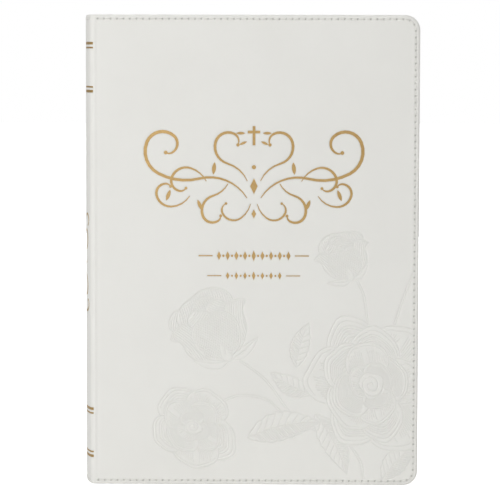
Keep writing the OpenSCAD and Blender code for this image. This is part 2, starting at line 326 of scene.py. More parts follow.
M_SKIN = leather()
M_FOIL = foil("stamped_gold_foil", 0.64)
M_FOIL_SPINE = foil("spine_gold_foil", 0.60)
M_THREAD = thread("seam_thread", (0.74, 0.73, 0.69), (0.84, 0.83, 0.80))
M_LINEN = thread("linen_thread", (0.60, 0.55, 0.44), (0.72, 0.68, 0.57))
M_PAPER = paper("thin_bible_paper", (0.80, 0.765, 0.68), (0.86, 0.835, 0.765))
M_HEAVY = paper("heavy_paper", (0.82, 0.79, 0.71), (0.88, 0.86, 0.80), 0.8, 600)
M_END = paper("endpaper", (0.81, 0.785, 0.72), (0.87, 0.85, 0.80), 0.82, 500)
M_KRAFT = paper("kraft_paper", (0.40, 0.27, 0.15), (0.50, 0.36, 0.21), 0.9, 700)
M_GILT = gilt()
M_MULL = weave("mull_cloth", (0.45, 0.42, 0.33), (0.80, 0.77, 0.66), 260, 0.0002)
M_BAND_A = thread("band_thread_cream", (0.70, 0.66, 0.54), (0.82, 0.79, 0.70))
M_BAND_B = thread("band_thread_gold", (0.42, 0.27, 0.08), (0.60, 0.42, 0.16))
M_BOARD = board()
M_SATIN = satin()


# ------------------------------------------------------------------ seam path, as the CAD stitches lie
SEAM_R = CR - SEAM
SX0 = XH + 1.2
SA = XR - SEAM - SEAM_R - SX0
SC = SEAM_R * math.pi / 2
SV = H - 2 * SEAM - 2 * SEAM_R
SLEN = 2 * SA + 2 * SC + SV
NST = int(SLEN / 3.13)


def seam(s):
    """(x, z, heading in radians) along the seam round the head, fore-edge and tail."""
    if s < SA:
        return SX0 + s, H - SEAM, 0.0
    if s < SA + SC:
        t = (s - SA) / SEAM_R
        return XR - SEAM - SEAM_R + SEAM_R * math.sin(t), H - SEAM - SEAM_R + SEAM_R * math.cos(t), -t
    if s < SA + SC + SV:
        return XR - SEAM, H - SEAM - SEAM_R - (s - SA - SC), -math.pi / 2
    if s < SA + 2 * SC + SV:
        t = (s - SA - SC - SV) / SEAM_R
        return XR - SEAM - SEAM_R + SEAM_R * math.cos(t), SEAM + SEAM_R - SEAM_R * math.sin(t), -math.pi / 2 - t
    return SX0 + SLEN - s, SEAM, -math.pi


PITCH = SLEN / NST


# ------------------------------------------------------------------ pressed rose drawing: an own design, drawn front to back
class Drawing:
    def __init__(self):
        self.lines = []
        self.masks = []

    def inside(self, P):
        r = np.zeros(len(P), bool)
        for m in self.masks:
            a, b = m, np.roll(m, -1, 0)
            box = (P[:, 0] > m[:, 0].min()) & (P[:, 0] < m[:, 0].max()) & (P[:, 1] > m[:, 1].min()) & (P[:, 1] < m[:, 1].max()) & ~r
            if not box.any():
                continue
            p = P[box]
            cond = (a[None, :, 1] > p[:, None, 1]) != (b[None, :, 1] > p[:, None, 1])
            xi = (b[:, 0] - a[:, 0])[None] * (p[:, None, 1] - a[None, :, 1]) / np.where(b[:, 1] == a[:, 1], 1e-9, b[:, 1] - a[:, 1])[None] + a[None, :, 0]
            r[box] = (np.sum(cond & (p[:, None, 0] < xi), 1) % 2) == 1
        return r

    def line(self, P, width=0.42, depth=0.2):
        P = np.asarray(P, float)
        keep = ~self.inside(P)
        run = []
        for k, p in enumerate(P):
            if keep[k]:
                run.append(p)
            elif run:
                if len(run) > 1:
                    self.lines.append((np.array(run), width, depth))
                run = []
        if len(run) > 1:
            self.lines.append((np.array(run), width, depth))

    def shape(self, outline, inner=(), width=0.42, depth=0.24, hatch_width=0.34, hatch_depth=0.22):
        o = np.asarray(outline, float)
        self.line(np.vstack([o, o[:1]]), width, depth)
        for h in inner:
            self.line(h, hatch_width, hatch_depth)
        self.masks.append(o)


def place(P, c, rot, sx=1.0, sz=1.0):
    P = np.asarray(P, float) * np.array([sx, sz])
    a = math.radians(rot)
    return np.stack([P[:, 0] * math.cos(a) - P[:, 1] * math.sin(a), P[:, 0] * math.sin(a) + P[:, 1] * math.cos(a)], 1) + np.array(c)


def petal_polar(phi0, half, r_in, r_out, wave=0.05, tip=0.05, n=46, seed=0):
    g = np.random.default_rng(seed)
    t = np.linspace(-1, 1, n)
    ph = phi0 + half * t
    dome = (1 - np.abs(t) ** 2.6) ** 0.55
    lip = 1 + wave * np.sin(3.1 * t + g.uniform(0, 6)) + tip * np.exp(-((t - g.uniform(-0.3, 0.3)) / 0.22) ** 2)
    r = r_in + (r_out * lip - r_in) * dome
    return ph, r, t


def rose_top(d, c, R, rot, seed, sx=1.0, sz=1.0, rings=((0.40, 3), (0.66, 4), (0.90, 5), (1.12, 6))):
    """An open rose seen from above: a rolled heart and rings of overlapping petals."""
    g = np.random.default_rng(seed)

    def put(P):
        return place(P, c, rot, sx, sz)
    t = np.linspace(0, 1, 90)
    r = R * (0.03 + 0.17 * t)
    ph = t * 2 * math.pi * 1.9
    spiral = np.stack([r * np.cos(ph), r * np.sin(ph)], 1)
    d.line(put(spiral), 0.45, 0.22)
    t = np.linspace(0, 2 * math.pi, 60)
    rr = R * (0.215 + 0.018 * np.sin(3 * t + 1) + 0.012 * np.sin(5 * t))
    d.shape(put(np.stack([rr * np.cos(t), rr * np.sin(t)], 1)))
    base = g.uniform(0, 360)
    r_prev = 0.2
    for k, (ro, count) in enumerate(rings):
        for q in range(count):
            phi0 = math.radians(base + q * 360 / count + g.uniform(-9, 9))
            half = math.radians(360 / count * g.uniform(0.60, 0.74))
            rad = R * ro * g.uniform(0.93, 1.06)
            ph, r, t = petal_polar(phi0, half, R * r_prev * 0.6, rad, 0.04, 0.06, 46, seed * 100 + k * 10 + q)
            outline = np.stack([r * np.cos(ph), r * np.sin(ph)], 1)
            inner = []
            # rolled lip
            m = (t > -0.72) & (t < 0.6)
            inner.append(np.stack([(r * 0.93)[m] * np.cos(ph[m]), (r * 0.93)[m] * np.sin(ph[m])], 1))
            if (q + k) % 2 == 0:
                # lines that run with the lip
                step = 1.06 / R
                for f in np.arange(0.90 - step, r_prev / ro * 0.95, -step):
                    w = 0.74 - 0.22 * (0.9 - f)
                    m = (np.abs(t) < w)
                    if m.sum() > 3:
                        inner.append(np.stack([(r * f)[m] * np.cos(ph[m]), (r * f)[m] * np.sin(ph[m])], 1))
            else:
                # lines that fan out from the base
                n_l = max(5, int(2 * half * rad * 0.78 / 1.1))
                for tt in np.linspace(-0.86, 0.86, n_l):
                    ri = np.interp(tt, t, r)
                    a = phi0 + half * tt
                    f = np.linspace(max(r_prev * R * 0.85 / ri, 0.3), 0.88 - 0.10 * g.uniform(), 14)
                    bend = 0.10 * np.sin(f * math.pi) * (1 if tt > 0 else -1)
                    inner.append(np.stack([ri * f * np.cos(a + bend * half), ri * f * np.sin(a + bend * half)], 1))
            d.shape(put(outline), [put(i) for i in inner])
        base += 360 / count * 0.5 + g.uniform(-8, 8)
        r_prev = ro * 0.86


def closed(points, n=90):
    """A smooth closed outline through given points."""
    P = np.asarray(points, float)
    k = len(P)
    u = np.linspace(0, k, n, endpoint=False)
    i = u.astype(int)
    f = (u - i)[:, None]
    p0, p1, p2, p3 = P[(i - 1) % k], P[i % k], P[(i + 1) % k], P[(i + 2) % k]
    return 0.5 * (2 * p1 + (p2 - p0) * f + (2 * p0 - 5 * p1 + 4 * p2 - p3) * f ** 2 + (-p0 + 3 * p1 - 3 * p2 + p3) * f ** 3)


def hatch(outline, angle, pitch, curve=0.0, cross=False, shrink=0.9):
    """Curved parallel lines clipped to an outline."""
    c = outline.mean(0)
    P = (outline - c) * shrink
    R = np.abs(P).max() * 1.5
    out = []
    test = Drawing()
    test.masks = [P + c]
    for ang in ([angle, angle + 62] if cross else [angle]):
        a = math.radians(ang)
        ax, nx = np.array([math.cos(a), math.sin(a)]), np.array([-math.sin(a), math.cos(a)])
        for o in np.arange(-R, R, pitch):
            s = np.linspace(-R, R, 90)
            L = c + ax * s[:, None] + nx * (o + curve * (s[:, None] / R) ** 2 * R)
            k = test.inside(L)
            run = []
            for i, p in enumerate(L):
                if k[i]:
                    run.append(p)
                elif run:
                    if len(run) > 2:
                        out.append(np.array(run))
                    run = []
            if len(run) > 2:
                out.append(np.array(run))
    return out


# a half-open rose from the side, front to back: outline points for radius 1, hatch angle, hatch curve, crossed or not
SEPALS = [[(-0.04, -0.60), (-0.26, -0.66), (-0.50, -0.52), (-0.66, -0.28), (-0.44, -0.40), (-0.22, -0.50)],
          [(0.04, -0.60), (0.28, -0.68), (0.52, -0.60), (0.74, -0.42), (0.50, -0.44), (0.24, -0.50)],
          [(-0.08, -0.60), (-0.10, -0.42), (-0.02, -0.20), (0.08, -0.42), (0.08, -0.60)]]
PETALS = [([(-0.02, -0.55), (-0.34, -0.42), (-0.50, -0.08), (-0.46, 0.24), (-0.26, 0.40), (-0.02, 0.36), (0.20, 0.44), (0.42, 0.30), (0.50, -0.02), (0.34, -0.40)], 58, 0.22, True),
          ([(0.10, -0.52), (0.42, -0.40), (0.64, -0.10), (0.70, 0.22), (0.84, 0.40), (0.62, 0.50), (0.40, 0.44), (0.30, 0.10)], 70, -0.30, False),
          ([(-0.12, -0.52), (-0.46, -0.42), (-0.70, -0.16), (-0.74, 0.16), (-0.90, 0.30), (-0.72, 0.46), (-0.44, 0.46), (-0.34, 0.06)], 108, 0.30, False),
          ([(-0.30, 0.20), (-0.44, 0.44), (-0.30, 0.62), (-0.04, 0.58), (0.06, 0.40)], 30, 0.25, False),
          ([(0.28, 0.20), (0.46, 0.46), (0.34, 0.66), (0.10, 0.64), (-0.04, 0.42)], 140, -0.25, False),
          ([(-0.26, 0.40), (-0.22, 0.72), (0.02, 0.84), (0.24, 0.74), (0.28, 0.44)], 92, 0.2, True),
          ([(-0.42, 0.30), (-0.62, 0.56), (-0.46, 0.80), (-0.16, 0.90), (0.12, 0.96), (0.44, 0.86), (0.62, 0.60), (0.44, 0.30)], 82, 0.2, False),
          ([(-0.60, 0.30), (-0.82, 0.52), (-0.70, 0.74), (-0.50, 0.78), (-0.40, 0.40)], 64, -0.2, False)]


def side_rose(d, c, R, rot, seed, flip=False, pitch=1.08):
    g = np.random.default_rng(seed)
    m = np.array([-1.0 if flip else 1.0, 1.0])

    def put(P):
        return place(np.asarray(P) * m * R, c, rot)
    for q in SEPALS:
        o = closed(q, 50)
        mid = np.array([o[0] * 0.9 + o.mean(0) * 0.1, o.mean(0), o[len(o) // 2]])
        d.shape(put(o), [put(mid)], 0.4, 0.19)
    for q, ang, curve, cross in PETALS:
        o = closed(q, 90)
        hs = hatch(o * R, ang + g.uniform(-6, 6), pitch, curve, cross, 0.93)
        lip = (o[20:72] - o.mean(0)) * 0.93 + o.mean(0)
        d.shape(put(o), [place(h * m, c, rot) for h in hs] + [put(lip)], 0.42, 0.24)


def leaf(d, c, L, W, rot, curve=0.15, seed=0, veins=7, hatched=1):
    t = np.linspace(0, 1, 40)
    wv = W / 2 * np.sin(math.pi * t ** 0.85) ** 0.9 * (1 + 0.05 * np.sin(t * 46))
    mid = np.stack([L * (t - 0.5), curve * L * (4 * (t - 0.5) ** 2 - 1) * -0.25], 1)
    up = mid + np.stack([np.zeros_like(t), wv], 1)
    dn = mid - np.stack([np.zeros_like(t), wv], 1)
    inner = [mid[1:-1]]
    for side, sgn in ((wv, 1), (wv, -1)):
        for f in np.linspace(0.12, 0.82, veins):
            s = np.linspace(0, 0.92, 10)
            x = L * (f - 0.5) + s * L * 0.13
            base = np.interp(f, t, mid[:, 1])
            x_t = np.clip(x / L + 0.5, 0, 1)
            z = np.interp(x_t, t, mid[:, 1]) + sgn * s * np.interp(x_t, t, wv)
            inner.append(np.stack([x, z], 1))
        if hatched and sgn == hatched:
            for f in np.arange(0.08, 0.9, 1.12 / L):
                s = np.linspace(0.08, 0.85, 8)
                x = L * (f - 0.5) + s * L * 0.10
                x_t = np.clip(x / L + 0.5, 0, 1)
                z = np.interp(x_t, t, mid[:, 1]) + sgn * s * np.interp(x_t, t, wv)
                inner.append(np.stack([x, z], 1))
    d.shape(place(np.vstack([up, dn[::-1]]), c, rot), [place(i, c, rot) for i in inner])


def stem(d, pts, w=0.9):
    P = np.array(pts, float)
    n = 50
    u = np.linspace(0, len(P) - 1, n)
    k = np.clip(u.astype(int), 0, len(P) - 2)
    f = (u - k)[:, None]
    pad = np.vstack([2 * P[0] - P[1], P, 2 * P[-1] - P[-2]])
    p0, p1, p2, p3 = pad[k], pad[k + 1], pad[k + 2], pad[k + 3]
    C = 0.5 * (2 * p1 + (p2 - p0) * f + (2 * p0 - 5 * p1 + 4 * p2 - p3) * f ** 2 + (-p0 + 3 * p1 - 3 * p2 + p3) * f ** 3)
    T = np.gradient(C, axis=0)
    N = np.stack([-T[:, 1], T[:, 0]], 1) / np.linalg.norm(T, axis=1)[:, None]
    d.shape(np.vstack([C + N * w / 2, (C - N * w / 2)[::-1]]), width=0.42, depth=0.2)


def roses():
    d = Drawing()
    W = XR - XS
    X = lambda f: XS + f * W           # shares of the cover's width and height
    Z = lambda f: f * H
    rose_top(d, (X(0.862), Z(0.215)), 26.5, 20, 3, 1.0, 1.12)
    rose_top(d, (X(0.327), Z(0.124)), 18.6, -30, 8, 1.08, 0.94, ((0.44, 3), (0.76, 4), (1.08, 5)))
    side_rose(d, (X(0.398), Z(0.322)), 23.5, 26, 5)
    side_rose(d, (X(0.780), Z(0.478)), 15.6, 22, 6, True, 1.02)
    leaf(d, (X(0.620), Z(0.218)), 22, 9.5, 152, 0.2, 1, 6)
    leaf(d, (X(0.600), Z(0.118)), 36, 14, 12, 0.25, 2, 8, -1)
    leaf(d, (X(0.742), Z(0.088)), 33, 12, -62, 0.2, 3, 8)
    leaf(d, (X(0.945), Z(0.052)), 24, 11, 48, 0.15, 4, 7, -1)
    leaf(d, (X(0.655), Z(0.300)), 22, 9, 74, 0.2, 5, 6)
    stem(d, [(X(0.462), Z(0.270)), (X(0.545), Z(0.225)), (X(0.625), Z(0.150)), (X(0.70), Z(0.115))])
    stem(d, [(X(0.816), Z(0.440)), (X(0.838), Z(0.405)), (X(0.85), Z(0.345))])
    stem(d, [(X(0.985), Z(0.455)), (X(0.955), Z(0.40)), (X(0.93), Z(0.345))])
    stem(d, [(X(0.40), Z(0.175)), (X(0.47), Z(0.192)), (X(0.55), Z(0.182)), (X(0.60), Z(0.150))])
    stem(d, [(X(0.80), Z(0.085)), (X(0.83), Z(0.05)), (X(0.84), Z(0.012))])
    return d.lines


def engrave(X, Z, base_x, lines, D):
    """Presses each line into the height map D over the grid X, Z (rows go up)."""
    zrow = Z[:, 0]
    for P, w, depth in lines:
        for a, b in zip(P[:-1], P[1:]):
            x0, x1 = min(a[0], b[0]) - w, max(a[0], b[0]) + w
            z0, z1 = min(a[1], b[1]) - w, max(a[1], b[1]) + w
            extra = CR + 1 if (z0 < CR or z1 > H - CR) else 0.4
            i0, i1 = np.searchsorted(zrow, [z0, z1])
            j0, j1 = np.searchsorted(base_x, [x0 - 0.4, x1 + extra])
            if i1 <= i0 or j1 <= j0:
                continue
            xs, zs = X[i0:i1, j0:j1], Z[i0:i1, j0:j1]
            d = b - a
            L2 = max(d @ d, 1e-9)
            t = np.clip(((xs - a[0]) * d[0] + (zs - a[1]) * d[1]) / L2, 0, 1)
            dist = np.hypot(xs - a[0] - t * d[0], zs - a[1] - t * d[1])
            h = np.where(dist < w, depth * (0.5 + 0.5 * np.cos(math.pi * dist / w)), 0)
            np.maximum(D[i0:i1, j0:j1], h, out=D[i0:i1, j0:j1])


# ------------------------------------------------------------------ covers
def outline_inset(X, Z):
    """Distance in from the head, fore-edge and tail of a cover, following its round corners."""
    r = CR
    dx = X - (XR - r)
    dz = np.maximum(np.abs(Z - H / 2) - (H / 2 - r), -1e9)
    corner = (dx > 0) & (dz > 0)
    d = np.minimum(XR - X, H / 2 - np.abs(Z - H / 2))
    return np.where(corner, r - np.hypot(np.maximum(dx, 0), np.maximum(dz, 0)), d)


def node_tree_bvh(name):
    o = nodes[name]
    me = o.data
    V = [v.co * 1000 for v in me.vertices]
    return BVHTree.FromPolygons(V, [list(p.vertices) for p in me.polygons]), np.array([list(v) for v in V])


def pressed_under(points, normal_out, name, reach=0.9, depth=0.14):
    """How deep the skin lies under a stamped foil node: points is N x 3."""
    bvh, V = node_tree_bvh(name)
    lo_, hi_ = V.min(0) - reach, V.max(0) + reach
    near = np.all((points > lo_) & (points < hi_), 1)
    out = np.zeros(len(points))
    for i in np.nonzero(near)[0]:
        r = bvh.find_nearest(Vector(points[i]), reach)
        if r[0] is not None:
            out[i] = r[3]
        else:
            out[i] = reach
    out[~near] = reach
    return depth * (1 - smooth01((out - 0.10) / 0.36))


def cover_grid(step_x, step_z, step_x2=None, z_split=None, step_z2=None):
    rim = [0, 0.025, 0.08, 0.16, 0.27, 0.41, 0.58, 0.78, 1.0, 1.2]
    seam_zone = list(np.arange(1.34, 4.3, 0.14))
    e = rim + seam_zone
    hinge = list(np.arange(XH, XH + 4.0, 0.16))
    mid = list(np.arange(hinge[-1] + 0.3, XR - e[-1] - 0.2, step_x))
    base_x = np.array(hinge + mid + [XR - v for v in e[::-1]])
    zz = e + list(np.arange(e[-1] + 0.2, H - e[-1] - 0.1, step_z)) + [H - v for v in e[::-1]]
    if z_split:
        low = e + list(np.arange(e[-1] + 0.2, z_split, step_z))
        zz = low + list(np.arange(low[-1] + step_z2, H - e[-1] - 0.1, step_z2)) + [H - v for v in e[::-1]]
    z = np.array(zz)
    # the corner needs rows at even steps of angle close to the head and tail
    ph = np.radians(np.arange(3, 60, 3.0))
    extra = CR * (1 - np.cos(ph))
    extra = extra[extra < 3.2]
    z = np.unique(np.round(np.concatenate([z, extra, H - extra]), 3))
    keep = np.concatenate([[True], np.diff(z) > 0.006])
    z = z[keep]
    z[0], z[-1] = 0.0, H
    dz = np.maximum(np.abs(z - H / 2) - (H / 2 - CR), 0)
    end = XR - CR + np.sqrt(np.maximum(CR ** 2 - dz ** 2, 0))
    t = (base_x - XH) / (XR - XH)
    Xg = XH + (end[:, None] - XH) * t[None, :]
    Zg = np.repeat(z[:, None], len(base_x), 1)
    return Xg, Zg, base_x


def build_cover(side, name, art, step):
    """The wrapped skin of one cover: pressed outer face, round rim and turned-in border."""
    if art:
        Xg, Zg, bx = cover_grid(step, step, None, 124, step * 1.6)
    else:
        Xg, Zg, bx = cover_grid(0.9, 0.9)
    n, m = Xg.shape
    d = outline_inset(Xg, Zg)
    dep = np.zeros_like(Xg)
    # soft fall of the face towards its edges, and the round rim
    dep += 0.16 * (1 - smooth01(d / 9.0)) ** 1.5 * 0.6
    rr = np.clip(RIM - d, 0, RIM)
    rim = RIM - np.sqrt(np.maximum(RIM ** 2 - rr ** 2, 0))
    # pressed hinge line
    hz = Xg - (XH + 0.95)
    dep += 0.08 * np.exp(-(hz / 0.8) ** 2) * smooth01(d / 1.2)
    # seam channel with a pucker at each needle hole
    dep += 0.06 * np.exp(-((d - SEAM) / 0.36) ** 2) * (Xg > XH + 0.7)
    dep -= 0.07 * np.exp(-((d - SEAM - 1.2) / 0.7) ** 2) * (Xg > XH + 1.4)
    zrow = Zg[:, 0]
    # second map: a weight that darkens the skin's colour in needle holes, pressed lines and the deboss round the foil:
    # painted shade in these recesses
    recess_shade = np.zeros_like(Xg)
    for k in range(NST):
        for s in [k * PITCH] + ([SLEN] if k == NST - 1 else []):
            x, z, a = seam(s)
            i0, i1 = np.searchsorted(zrow, [z - 0.9, z + 0.9])
            j0, j1 = np.searchsorted(bx, [x - 0.9, x + 0.9 + (CR if (z < CR or z > H - CR) else 0)])
            q = np.hypot(Xg[i0:i1, j0:j1] - x, Zg[i0:i1, j0:j1] - z)
            dep[i0:i1, j0:j1] += 0.50 * np.exp(-(q / 0.40) ** 2)
            recess_shade[i0:i1, j0:j1] += 0.58 * np.exp(-(q / 0.46) ** 2)
    if art:
        D = np.zeros_like(Xg)
        engrave(Xg, Zg, bx, roses(), D)
        D *= smooth01((d - SEAM - 0.5) / 0.7)
        dep += D
        # painted shade along the pressed rose lines
        recess_shade += 0.065 * D / 0.22
        pts = np.stack([Xg.ravel(), np.full(Xg.size, -HT), Zg.ravel()], 1)
        under = pressed_under(pts, None, "front_foil_ornament").reshape(Xg.shape)
        dep += under
        # painted shade in the deboss round the foil
        recess_shade += 0.10 * under / 0.14
    # slow unevenness of a soft cover
    dep += 0.035 * (np.sin(Xg / 23 + 1.3) * np.cos(Zg / 31 + 0.4) + 1) * smooth01(d / 6)
    Y = -HT + rim + dep * smooth01(d / 0.6)
    V = [np.stack([Xg, Y, Zg], -1).reshape(-1, 3)]
    F = [grid_faces(n, m)]
    # rim and turned-in border: rings that start on the grid's own border
    bi = [(n - 1) * m + j for j in range(m)] + [i * m + (m - 1) for i in range(n - 2, -1, -1)] + [j for j in range(m - 2, -1, -1)]
    bi = np.array(bi)
    B = V[0][bi]
    ins = [(0.0, 0.35), (0.03, 0.62), (0.16, 1.02), (0.36, 1.36), (0.62, 1.68), (0.9, 1.92), (1.2, 2.06), (1.6, 2.1), (3.2, 2.1), (7.0, 2.1), (13.0, 2.1)]
    ring_prev = bi
    base = len(V[0])
    ring_pts = []
    for dist, yy in ins:
        if dist == 0.0:
            R_ = B.copy()
            R_[:, 1] = -HT + RIM + 0.0
            # the first ring leaves the grid's border at the middle of the rim
            dist, yy = 0.0, RIM
            R_[:, 1] = -HT + yy + 0.12
            ring_pts.append(R_)
            continue
        R_ = B.copy()
        # move in along the outline: straight sides move in, corners shrink towards their centres
        cx = XR - CR
        for sgn, zc in ((1, H - CR), (-1, CR)):
            c = (B[:, 0] > cx) & ((B[:, 2] - zc) * sgn > 0)
            v = np.stack([B[c, 0] - cx, B[c, 2] - zc], 1)
            L = np.linalg.norm(v, axis=1)
            f = np.maximum((CR - dist) / CR, 0.02)
            over = max(dist - CR * 0.98, 0)
            R_[c, 0] = cx + v[:, 0] * f - over * 1.0
            R_[c, 2] = zc + v[:, 1] * f - sgn * over
        s = (B[:, 0] <= cx) & (B[:, 2] > H / 2)
        R_[s, 2] = H - dist
        s = (B[:, 0] <= cx) & (B[:, 2] < H / 2)
        R_[s, 2] = dist
        s = (B[:, 0] > cx) & (B[:, 2] <= H - CR) & (B[:, 2] >= CR)
        R_[s, 0] = XR - dist
        if dist > CR:
            R_[:, 0] = np.minimum(R_[:, 0], XR - dist)
            R_[:, 2] = np.clip(R_[:, 2], dist, H - dist)
        R_[:, 1] = -HT + yy
        ring_pts.append(R_)
    nb = len(bi)
    for R_ in ring_pts:
        V.append(R_)
        ring = base + np.arange(nb)
        q = np.stack([ring_prev[:-1], ring_prev[1:], ring[1:], ring[:-1]], 1)
        F.append(q)
        ring_prev = ring
        base += nb
    V = np.vstack(V)
    F = np.vstack(F)
    if side > 0:
        V[:, 1] *= -1
        F = F[:, ::-1]
    o = make(name, V, F, M_SKIN, None)
    # stores the painted-shade weights on the skin
    store_recess_shade(o, recess_shade.ravel())
    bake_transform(o)
    return o


STEP = 0.22
front = build_cover(-1, "front_cover_skin", True, STEP)
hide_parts("front_cover_leather")
back = build_cover(1, "back_cover_skin", False, STEP)
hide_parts("back_cover_leather")


# ------------------------------------------------------------------ spine skin
def spine_profile():
    """(x, y, nx, ny, s) round the spine from the front hinge line to the back one."""
    ang = math.atan2(HT - SR, BX - XH)
    P = []
    for a in np.linspace(math.pi / 2, ang, 22):
        P.append((XH - SR * math.cos(a), -(HT - SR) - SR * math.sin(a), -math.cos(a), -math.sin(a)))
    for a in np.linspace(ang, -ang, 150)[1:-1]:
        P.append((BX - BR * math.cos(a), -BR * math.sin(a), -math.cos(a), -math.sin(a)))
    for a in np.linspace(ang, math.pi / 2, 22):
        P.append((XH - SR * math.cos(a), (HT - SR) + SR * math.sin(a), -math.cos(a), math.sin(a)))
    P = np.array(P)
    s = np.concatenate([[0], np.cumsum(np.hypot(np.diff(P[:, 0]), np.diff(P[:, 1])))])
    return P, s


def build_spine():
    P, s = spine_profile()
    e = [0, 0.025, 0.08, 0.16, 0.27, 0.41, 0.58, 0.78, 1.0, 1.2] + list(np.arange(1.34, 3.4, 0.14))
    z = np.array(e + list(np.arange(3.6, H - 3.5, 0.25)) + [H - v for v in e[::-1]])
    n, m = len(z), len(P)
    Zg = np.repeat(z[:, None], m, 1)
    d = np.minimum(Zg, H - Zg)
    rr = np.clip(RIM - d, 0, RIM)
    rim = RIM - np.sqrt(np.maximum(RIM ** 2 - rr ** 2, 0))
    dep = 0.16 * (1 - smooth01(d / 9.0)) ** 1.5 * 0.6
    mid = smooth01(np.minimum(s, s[-1] - s) / 2.0)[None, :]
    dep = dep + 0.06 * np.exp(-((d - SEAM) / 0.36) ** 2) * mid
    # a weight that darkens the skin's colour in the needle holes: painted shade in these recesses
    recess_shade = np.zeros_like(Zg)
    step = 3.13 / BR
    for k in range(-5, 5):
        a = (k + 0.5) * step
        x0, y0 = BX - BR * math.cos(a), -BR * math.sin(a)
        for zz in (SEAM, H - SEAM):
            q = np.sqrt((P[None, :, 0] - x0) ** 2 + (P[None, :, 1] - y0) ** 2 + (Zg - zz) ** 2)
            dep = dep + 0.46 * np.exp(-(q / 0.40) ** 2)
            recess_shade = recess_shade + 0.58 * np.exp(-(q / 0.46) ** 2)
    pts = np.stack([np.repeat(P[None, :, 0], n, 0), np.repeat(P[None, :, 1], n, 0), Zg], -1).reshape(-1, 3)
    dep = dep + pressed_under(pts, None, "spine_foil_bands").reshape(n, m)
    dep = dep + pressed_under(pts, None, "spine_foil_ornament").reshape(n, m)
    off = rim + dep * smooth01(d / 0.6)
    Xg = P[None, :, 0] - P[None, :, 2] * off
    Yg = P[None, :, 1] - P[None, :, 3] * off
    V = [np.stack([Xg, Yg, Zg], -1).reshape(-1, 3)]
    F = [grid_faces(n, m, True)]
    # rim and turned-in border at head and tail, then the thin skin's inner face between them
    rings = [(0.0, 1.17), (0.03, 1.4), (0.16, 1.6), (0.36, 1.8), (0.62, 1.95), (0.9, 2.05), (1.4, 2.1), (6, 2.1), (13.6, 2.1), (14.0, 1.45)]
    base = len(V[0])
    for top in (True, False):
        prev = np.arange(m) + ((n - 1) * m if top else 0)
        for dist, dp in rings:
            zz = H - dist if top else dist
            V.append(np.stack([P[:, 0] - P[:, 2] * dp, P[:, 1] - P[:, 3] * dp, np.full(m, zz)], 1))
            ring = base + np.arange(m)
            q = np.stack([prev[:-1], prev[1:], ring[1:], ring[:-1]], 1)
            F.append(q[:, ::-1] if top else q)
            prev = ring
            base += m
    zi = np.linspace(13.9, H - 13.9, 12)
    for zz in zi:
        V.append(np.stack([P[:, 0] - P[:, 2] * 0.8, P[:, 1] - P[:, 3] * 0.8, np.full(m, zz)], 1))
    F.append(grid_faces(len(zi), m, False, base))
    o = make("spine_skin", np.vstack(V), np.vstack(F), M_SKIN, "binding")
    # stores the painted-shade weights on the skin
    store_recess_shade(o, recess_shade.ravel())
    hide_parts("spine_leather")
    return o


spine = build_spine()


# ------------------------------------------------------------------ sewn stitches: two plies twisted together, pulled down at both ends
def stitch_template(length=2.3, r=0.155, plies=2, n=13, sides=7, turns=1.5):
    V, F = [], []
    t = np.linspace(0, 1, n)
    x = (t - 0.5) * length
    lift = 0.34 * np.sin(math.pi * t) ** 0.5 - 0.26
    taper = 0.55 + 0.45 * np.sin(math.pi * t) ** 0.4
    for p in range(plies):
        ph = 2 * math.pi * (turns * t + p / plies)
        cy, cz = r * 0.62 * np.cos(ph), r * 0.62 * np.sin(ph)
        base = len(V)
        for k in range(n):
            for q in range(sides):
                a = 2 * math.pi * q / sides
                V.append((x[k], lift[k] + (cy[k] + r * math.cos(a)) * taper[k], (cz[k] + r * math.sin(a)) * taper[k]))
        for k in range(n - 1):
            for q in range(sides):
                a, b = base + k * sides + q, base + k * sides + (q + 1) % sides
                F.append((a, b, b + sides, a + sides))
    return np.array(V), np.array(F)


def build_stitches(side, name, body, cad):
    T, TF = stitch_template()
    V, F = [], []
    g = np.random.default_rng(11 + side)
    for k in range(NST):
        x, z, a = seam((k + 0.5) * PITCH)
        a += g.uniform(-0.03, 0.03)
        c, s = math.cos(a), math.sin(a)
        sc = 1 + g.uniform(-0.05, 0.05)
        P = np.stack([x + (T[:, 0] * c * sc - T[:, 2] * s), -HT - T[:, 1] + 0.06, z + (T[:, 0] * s * sc + T[:, 2] * c)], 1)
        if side > 0:
            P[:, 1] *= -1
        F.append(TF[:, ::(1 if side < 0 else -1)] + len(V) * len(T))
        V.append(P)
    o = make(name, np.vstack(V), np.vstack(F), M_THREAD, body)
    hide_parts(cad)


build_stitches(-1, "front_seam_stitches", "front_cover", "front_stitching")
build_stitches(1, "back_seam_stitches", "back_cover", "back_stitching")


def build_spine_stitches():
    T, TF = stitch_template()
    V, F = [], []
    step = 3.13 / BR
    for zz in (SEAM, H - SEAM):
        for k in range(-4, 5):
            a = k * step
            c, s = math.cos(a), math.sin(a)
            r = BR + T[:, 1] - 0.06
            along = T[:, 0]
            X = BX - r * c - along * s * -1
            Y = -r * s - along * c
            F.append(TF + len(V) * len(T))
            V.append(np.stack([X, Y, zz + T[:, 2]], 1))
    o = make("spine_seam_stitches", np.vstack(V), np.vstack(F), M_THREAD, "binding")
    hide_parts("spine_stitching")


build_spine_stitches()

# ------------------------------------------------------------------ pages
def page_outline_x(x_fold, x_end, neck):
    a = list(x_fold + np.array(neck))
    b = list(np.linspace(a[-1] + 4, x_end - 6.5, 14))
    ph = np.radians(np.linspace(90, 0, 12))
    c = list(x_end - 6 + 6 * np.cos(ph))
    return np.array(a + b + c)


